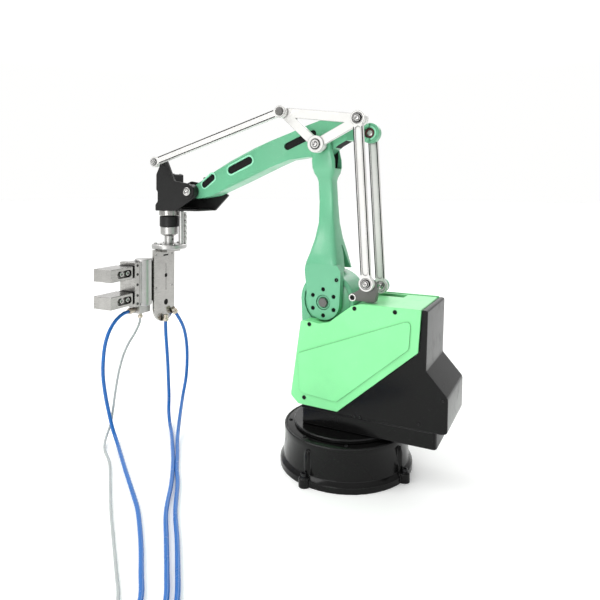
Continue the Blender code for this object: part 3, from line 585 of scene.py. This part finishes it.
def pivot_screw(name, xz, face, body, washer_radius, head_radius):
    """A dark seat, a bright washer and a socket head on a pivot's left face."""
    bore = head_radius * 0.5
    seat = (xz[0], face - 0.3, xz[1])
    washer(name + "_seat", seat, "+Y", body, bore, washer_radius + 0.9, 0.6, "matt_black")
    spot = (xz[0], face + 0.3, xz[1])
    washer(name + "_washer", spot, "+Y", body, bore, washer_radius, 0.8, "white_aluminium")
    top = (xz[0], face + 1.1, xz[1])
    washer(name + "_shadow", top, "+Y", body, bore, head_radius + 0.7, 0.3, "matt_black")
    socket_screw(name + "_screw", top, "+Y", body, head_radius, head_radius * 0.6)


pivot_screw("elbow", ELBOW, 41.2, "lower_arm", 6.6, 3.8)
pivot_screw("rod_foot", ROD_FOOT, 49.6, "shoulder", 5.0, 3.4)
pivot_screw("triangle_rear", TRIANGLE_REAR, 50.2, "triangle", 5.0, 3.4)
pivot_screw("wrist_top", WRIST_TOP, 50.4, "wrist", 5.4, 3.5)
socket_screw("crank_pin_screw", (CRANK_PIN[0], -26.5, CRANK_PIN[1]), "+Y", "crank_pin", 4.6, 1.2)
socket_screw("wrist_screw_near", (WRIST[0], 28.0, WRIST[1]), "+Y", "wrist", 7.4, 4.0)
socket_screw("wrist_screw_far", (WRIST[0], -27.5, WRIST[1]), "-Y", "wrist", 6.4, 4.0)
washer("elbow_spacer", (ELBOW[0], 19.2, ELBOW[1]), "+Y", "lower_arm", 5.2, 9.5, 11.0, "white_aluminium")
washer("wrist_boss_near", (WRIST[0], 25.9, WRIST[1]), "+Y", "wrist", 4.2, 12.2, 2.2, "matt_black")
washer("wrist_boss_far", (WRIST[0], -25.9, WRIST[1]), "-Y", "wrist", 4.2, 11.6, 1.6, "matt_black")

# A domed grey bolt head closes the triangle's front pin.
dome = [(6.4, -1), (6.4, 1.6), (6.0, 2.4), (4.6, 3.1), (2.4, 3.5), (0.8, 3.6), (0.01, 3.6)]
front = (TRIANGLE_FRONT[0], 50.0, TRIANGLE_FRONT[1])
turned("triangle_front_head", dome, front, "+Y", "triangle", "grey_steel", 40)

# The drive rod's boss on the forearm's tail has a sunk screw in a turned ring.
socket_screw("tail_screw", (TAIL_PIN[0], -17.2, TAIL_PIN[1]), "+Y", "forearm", 4.6, 1.6, "steel")

# Shoulder ---------------------------------------------------------------------------------

CHEEK_SCREW_CIRCLE = 19.4
for i, (x, z) in enumerate(round_circle(SHOULDER, CHEEK_SCREW_CIRCLE, 6, 30)):
    spot = (x, 36.4, z)
    socket_screw(f"cheek_screw_{i}", spot, "+Y", "lower_arm", 3.1, 2.0, "dark_lining")
turned(
    "hub_ring",
    [(7.6, 0), (11.0, 0), (11.0, 1.0), (10.2, 1.6), (8.4, 1.6), (7.6, 1.0)],
    (SHOULDER[0], 37.4, SHOULDER[1]),
    "+Y",
    "lower_arm",
    "green_paint",
)
socket_screw("neck_screw", (-1.5, 39.8, 279.7), "+Y", "lower_arm", 2.8, 1.4, "dark_lining")
socket_screw("bracket_screw", (-26.8, 36.8, 256.6), "+Y", "shoulder", 3.4, 4.6, "matt_black")
washer("bracket_washer", (-26.8, 40.9, 256.6), "+Y", "shoulder", 3.5, 5.6, 0.8, "steel")

# Screws in the side covers and in the black casing, mm (x, z), and the faces that they sit on.
COVER_FACE = 56.0
CASING_FACE = 52.0
COVER_SCREWS = ((34.9, 214.7), (-35.8, 244.4), (-94.7, 245.1), (43.5, 105.6))
CASING_SCREWS = ((-158.7, 133.4), (-126.1, 96.8), (-34.0, 90.4), (-42.3, 90.4))
for side, word, axis in ((1, "left", "+Y"), (-1, "right", "-Y")):
    for i, (x, z) in enumerate(COVER_SCREWS):
        spot = (x, COVER_FACE * side, z)
        socket_screw(f"cover_screw_{word}_{i}", spot, axis, "shoulder", 2.9, 1.1, "dark_lining")
    for i, (x, z) in enumerate(CASING_SCREWS):
        spot = (x, CASING_FACE * side, z)
        socket_screw(f"casing_screw_{word}_{i}", spot, axis, "shoulder", 1.9, 0.9, "motor_black")

# Base -------------------------------------------------------------------------------------

FOOT_CIRCLE = 101.5
FOOT_FACE = 13.0
for i, (x, y) in enumerate(round_circle((0, 0), FOOT_CIRCLE, 4, 77)):
    washer(f"foot_washer_{i}", (x, y, FOOT_FACE), "+Z", "base", 2.9, 6.0, 1.0, "motor_black")
    socket_screw(f"foot_screw_{i}", (x, y, FOOT_FACE + 1.0), "+Z", "base", 4.2, 4.6, "motor_black")
RING_CIRCLE = 84.5
RING_FACE = 57.9
for i, (x, y) in enumerate(round_circle((0, 0), RING_CIRCLE, 8, 22.5)):
    socket_screw(f"ring_screw_{i}", (x, y, RING_FACE), "+Z", "base", 2.7, 1.6, "motor_black")

# Rods, windows and linings ----------------------------------------------------------------


def bar(name, start, end, half, span, body, slot):
    """A straight strip with round ends between two (x, z) points, its thickness along Y, in mm."""
    one, two = Vector(start), Vector(end)
    along = (two - one).normalized()
    lean = math.atan2(along[1], along[0])
    outline = []
    for spot, first in ((two, -90), (one, 90)):
        for i in range(9):
            turn = lean + math.radians(first + 22.5 * i)
            outline.append((spot[0] + half * math.cos(turn), spot[1] + half * math.sin(turn)))
    bm = bmesh.new()
    edge = min(0.3, half * 0.3)
    rings = []
    for y, shrink in ((span[0], 0), (span[1] - edge, 0), (span[1], edge)):
        rings.append([bm.verts.new((x, y, z)) for x, z in shrunk(outline, one, two, half, shrink)])
    skin(bm, rings)
    bmesh.ops.scale(bm, vec=(MM, MM, MM), verts=bm.verts)
    return piece(name, bm, body, slot)


def shrunk(outline, one, two, half, amount):
    """The strip's outline drawn in evenly."""
    if not amount:
        return outline
    made = []
    for x, z in outline:
        spot = Vector((x, z))
        along = two - one
        t = min(max((spot - one).dot(along) / along.length_squared, 0), 1)
        core = one + along * t
        made.append(core + (spot - core) * (1 - amount / half))
    return made


def offset_line(start, end, trim, side):
    """A line beside the one between two pivots, cut short at both ends."""
    one, two = Vector(start), Vector(end)
    along = (two - one).normalized()
    across = Vector((-along[1], along[0])) * side
    return one + along * trim + across, two - along * trim + across


# Each rod's two dark lines, painted shade along its edges: its pivots, how far the lines stop short
# of them, how far they lie from the rod's middle, and the rod's outer face along Y.
SHADE_LINE_HALF = 0.95
ROD_SHADE_LINES = (
    ("level_rod_upper", TRIANGLE_FRONT, WRIST_TOP, 10.5, 4.75, 49.0),
    ("level_rod_lower", ROD_FOOT, TRIANGLE_REAR, 13.0, 6.3, 49.0),
    ("drive_rod", CRANK_PIN, TAIL_PIN, 13.0, 6.3, -27.0),
)
for name, start, end, trim, side, face in ROD_SHADE_LINES:
    for word, sign in (("a", 1), ("b", -1)):
        one, two = offset_line(start, end, trim, side * sign)
        bar(f"{name}_line_{word}", one, two, SHADE_LINE_HALF, (face - 0.3, face + 0.12), name, "matt_black")

# Dark plates of painted shade in the forearm's pockets, and raised lips round the two outer ones in lighter
# green as a painted highlight.
# Centre x, z, length, radius, slope in degrees, and the casting's half width at the start and end.
WINDOWS = (
    (247.5, 427.5, 33, 5.6, -34, 15.4, 12.9),
    (180.5, 452.8, 51, 6.4, -23, 18.5, 18.2),
    (72.5, 490.5, 60, 6.0, -22, 11.6, 11.6),
)
LIPPED_WINDOWS = 2


def lip(name, one, two, radius, faces, side, body, slot):
    """A rounded lip round a pocket's mouth, following the surface from one end to the other."""
    along = two - one
    direction = along.normalized()
    lean = math.atan2(direction[1], direction[0])
    bm = bmesh.new()
    loops = []
    for grow, lift in ((0.0, -0.8), (0.1, 0.4), (0.8, 1.0), (2.0, 0.9), (2.9, 0.3), (3.2, -0.5)):
        loop = []
        for spot, first in ((two, -90), (one, 90)):
            for i in range(13):
                turn = lean + math.radians(first + 15 * i)
                point = spot + Vector((math.cos(turn), math.sin(turn))) * (radius + grow)
                t = (point - one).dot(along) / along.length_squared
                y = faces[0] + (faces[1] - faces[0]) * t + lift
                loop.append(bm.verts.new((point[0], y * side, point[1])))
        loops.append(loop)
    skin(bm, loops + loops[:1], closed=False)
    bmesh.ops.scale(bm, vec=(MM, MM, MM), verts=bm.verts)
    return piece(name, bm, body, slot, sharp=60.0)


for i, (x, z, length, radius, slope, low_face, high_face) in enumerate(WINDOWS):
    reach = Vector((math.cos(math.radians(slope)), math.sin(math.radians(slope)))) * (length / 2 - radius)
    one, two = Vector((x, z)) - reach, Vector((x, z)) + reach
    floor_y = min(low_face, high_face) - 1.3
    for side, word in ((1, "left"), (-1, "right")):
        span = sorted(((floor_y - 0.9) * side, floor_y * side))
        bar(f"window_shade_{i}_{word}", one, two, radius - 0.1, span, "forearm", "dark_lining")
        if i < LIPPED_WINDOWS:
            faces = (low_face, high_face)
            lip(f"window_lip_{i}_{word}", one, two, radius, faces, side, "forearm", "lit_green_paint")


def shade_slab(name, points, span, body, axis="Y"):
    """A dark plate of painted shade with an outline of two-number points in mm, its thickness along an
    axis.
    """

    def put(p, height):
        return {"X": (height, p[0], p[1]), "Y": (p[0], height, p[1]), "Z": (p[0], p[1], height)}[axis]

    bm = bmesh.new()
    skin(bm, [[bm.verts.new(put(point, height)) for point in points] for height in span])
    bmesh.ops.scale(bm, vec=(MM, MM, MM), verts=bm.verts)
    return piece(name, bm, body, "dark_lining")


# Black plates of painted shade lie on the fork's cheeks and floor, and on the forearm's underside behind
# it.
FORK_SIDE = [(19.5, 446), (46, 446), (46.5, 470), (44, 488), (33, 494), (21, 489), (18.5, 478), (17.5, 462)]
for side, word in ((1, "left"), (-1, "right")):
    shade_slab(f"fork_shade_{word}", FORK_SIDE, sorted((12.1 * side, 12.45 * side)), "lower_arm")
FORK_FLOOR = [(15.0, -12.2), (29.0, -12.2), (29.0, 12.2), (15.0, 12.2)]
shade_slab("fork_floor_shade", FORK_FLOOR, (444.9, 445.5), "lower_arm", "Z")

UNDER_ROOT = [(23.5, 467.0), (9.2, 478.9), (-5.5, 486.4), (-5.5, 489.5), (10.5, 482.0), (24.5, 470.0)]
shade_slab("forearm_shade_root", UNDER_ROOT, (-11.3, 11.3), "forearm")
UNDER_TAIL = [(-6.5, 487.2), (-17.0, 486.0), (-17.0, 489.0), (-6.5, 490.5)]
shade_slab("forearm_shade_tail", UNDER_TAIL, (-15.0, -9.0), "forearm")
tail = (TAIL_PIN[0], -17.3, TAIL_PIN[1])
washer("tail_insert", tail, "+Y", "forearm", 3.4, 7.9, 1.4, "red_insert")
# The ring round the tail boss is painted lighter green as a painted highlight.
tail_face = (TAIL_PIN[0], -14.1, TAIL_PIN[1])
washer("tail_ring", tail_face, "+Y", "forearm", 8.4, 11.2, 0.7, "lit_green_paint")
grommet = (262.0, 0.0, 429.0)
turned(
    "forearm_grommet",
    [(2.4, -1.5), (4.6, -1.5), (4.6, 2.2), (5.4, 3.0), (5.4, 4.4), (4.4, 5.4), (2.9, 5.4), (2.4, 4.8)],
    grommet,
    "+Z",
    "forearm",
    "red_insert",
)

# Wrist and tool ---------------------------------------------------------------------------

for i, (x, y) in enumerate(((327, -9), (327, 9), (347, -9), (347, 9))):
    socket_screw(f"motor_screw_{i}", (x, y, 440.3), "+Z", "wrist", 2.2, 1.4, "steel")
DISC_SCREW_CIRCLE = 24.5
DISC_FACE = 314.4
GUIDE_POST = Vector((322.5, -10.0))
for i, spot in enumerate(round_circle((TOOL_AXIS_X, 0), DISC_SCREW_CIRCLE, 6, 30)):
    # The guide post stands where one of the screws would be.
    if (Vector(spot) - GUIDE_POST).length > 9:
        socket_screw(f"disc_screw_{i}", (*spot, DISC_FACE), "+Z", "tool", 2.6, 2.4)
socket_screw("hub_screw", (TOOL_AXIS_X - 8.3, 0.6, 323.0), "-X", "tool", 1.9, 0.7, "matt_black")
for i, (y, z) in enumerate(((31, 296), (-11, 296), (31, 238), (-11, 238), (24, 190))):
    socket_screw(f"plate_screw_{i}", (347.1, y, z), "-X", "tool", 2.0, 0.9, "steel")
for name, z in (("upper", 272.4), ("lower", 228.0)):
    for i, y in enumerate((92.0, 106.0)):
        socket_screw(f"{name}_finger_screw_{i}", (359.0, y, z), "-X", f"{name}_jaw", 4.2, 4.0, "steel")
socket_screw("plate_bolt_upper", (349.5, 6.5, 258.2), "-X", "tool", 3.5, 1.6, "matt_black")
socket_screw("plate_bolt_lower", (349.5, 6.5, 210.0), "-X", "tool", 5.2, 1.2, "matt_black")
# A dark plate of painted shade stands for the slot in the tool plate.
PLATE_SLOT = [(0.5, 293.6), (13, 293.6), (13, 296.2), (0.5, 296.2)]
shade_slab("plate_slot_shade", PLATE_SLOT, (346.85, 347.1), "tool", "X")
for i, z in enumerate((218, 232, 250.4, 268, 283)):
    socket_screw(f"rail_screw_{i}", (352.7, 72.2, z), "-X", "tool", 2.1, 0.9, "motor_black")

# Air tubes --------------------------------------------------------------------------------

# Each tube leaves the mouth of its fitting, hangs down to the surface and runs along it.
TUBE_ROUTES = {
    "air_tube_left": (3.0, [
        (368, 78.6, 204), (368.5, 88, 203.2), (370, 99, 198), (372.5, 110, 187), (374.5, 119, 170),
        (375.5, 125, 146), (375.5, 127, 110), (374, 122.5, 72), (370, 118.5, 42), (364, 118, 22),
        (354, 121, 9.5), (336, 133, 4.5), (305, 157, 4.2), (269, 185, 4.2), (215, 226, 4.2),
        (181, 253, 4.2), (135, 297, 4.2), (98, 336, 4.2), (71, 366, 4.2), (48, 408, 4.2),
        (30, 450, 4.2),
    ]),
    "air_tube_clear": (2.0, [
        (366, 52, 188), (366.2, 52.6, 182), (366.8, 56, 174), (367.8, 64, 163), (369, 76, 150),
        (370, 87, 133), (370.4, 97, 108), (371, 104, 78), (373, 108, 46), (374, 112, 24),
        (372, 122, 10), (362, 136, 4.8), (345, 152, 3.3), (308, 178, 3.2), (262, 221, 3.2),
        (213, 267, 3.2), (170, 305, 3.2), (128, 342, 3.2), (91, 376, 3.2), (66, 415, 3.2),
        (46, 456, 3.2),
    ]),
    "air_tube_middle": (3.0, [
        (341, 14.5, 177.2), (341, 14.6, 168), (341, 13.5, 150), (341, 11, 125), (341, 8.5, 98),
        (341, 7, 70), (338, 9, 42), (330, 19, 19), (313, 36, 6.5), (289, 60, 4.2), (257, 96, 4.2),
        (225, 133, 4.2), (187, 182, 4.2), (149, 237, 4.2), (110, 282, 4.2), (76, 321, 4.2),
        (48, 355, 4.2), (22, 400, 4.2), (5, 442, 4.2),
    ]),
    "air_tube_right": (3.0, [
        (340.8, -12.6, 187.4), (340.4, -16.6, 182), (340, -24, 172), (340, -33, 158),
        (341, -41, 140), (341.5, -46, 116), (341, -46, 90), (337, -38, 62), (326, -16, 40),
        (307, 14, 26), (286, 45, 15), (262, 78, 6.5), (237, 108, 4.3), (207, 146, 4.2),
        (179, 178, 4.2), (139, 231, 4.2), (100, 275, 4.2), (67, 314, 4.2), (39, 349, 4.2),
        (13, 393, 4.2), (-4, 436, 4.2),
    ]),
}


def smooth_route(points, pitch):
    """Points a pitch apart on a Catmull-Rom curve through the route's own points."""
    knots = [Vector(p) for p in points]
    knots = [2 * knots[0] - knots[1]] + knots + [2 * knots[-1] - knots[-2]]
    dense = []
    for a, b, c, d in zip(knots, knots[1:], knots[2:], knots[3:]):
        for i in range(40):
            t = i / 40
            bend = (2 * a - 5 * b + 4 * c - d) * t**2 + (3 * b - a - 3 * c + d) * t**3
            dense.append(0.5 * (2 * b + (c - a) * t + bend))
    dense.append(knots[-2])
    lengths = [0.0]
    for one, two in zip(dense, dense[1:]):
        lengths.append(lengths[-1] + (two - one).length)
    count = round(lengths[-1] / pitch)
    made, k = [], 0
    for i in range(count + 1):
        wanted = lengths[-1] * i / count
        while k < len(lengths) - 2 and lengths[k + 1] < wanted:
            k += 1
        t = (wanted - lengths[k]) / (lengths[k + 1] - lengths[k])
        made.append(dense[k].lerp(dense[k + 1], min(max(t, 0), 1)))
    return made


def air_tube(name, slot):
    radius, points = TUBE_ROUTES[name]
    route = smooth_route(points, 3.0 * radius)
    curve = bpy.data.curves.new(name + "_hose", "CURVE")
    curve.dimensions = "3D"
    curve.bevel_depth = radius * MM
    curve.bevel_resolution = 6
    curve.use_fill_caps = True
    spline = curve.splines.new("POLY")
    spline.points.add(len(route) - 1)
    for point, spot in zip(spline.points, route):
        point.co = (*(spot * MM), 1.0)
    spline.use_smooth = True
    curve.materials.append(FINISHES[slot])
    tube = bpy.data.objects.new(name + "_hose", curve)
    COLLECTION.objects.link(tube)
    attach(tube, "tool")
    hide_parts(name)


for name in TUBE_ROUTES:
    air_tube(name, "clear_tube" if name == "air_tube_clear" else "blue_tube")

# Floor ------------------------------------------------------------------------------------

floor_mesh = bpy.data.meshes.new("floor")
floor_mesh.from_pydata([(-20, -20, 0), (20, -20, 0), (20, 20, 0), (-20, 20, 0)], [], [(0, 1, 2, 3)])
floor = bpy.data.objects.new("floor", floor_mesh)
COLLECTION.objects.link(floor)
floor.location = (0.0, 0.0, -0.0002)
ground = Shader("floor")
ground.set(Base_Color=ground.mix(ground.noise(3.0), rgba((0.93, 0.94, 0.93)), rgba((0.96, 0.97, 0.96))))
ground.set(Roughness=0.6, Emission_Color=(1.0, 1.0, 1.0, 1.0), Emission_Strength=0.14)
floor_mesh.materials.append(ground.material)
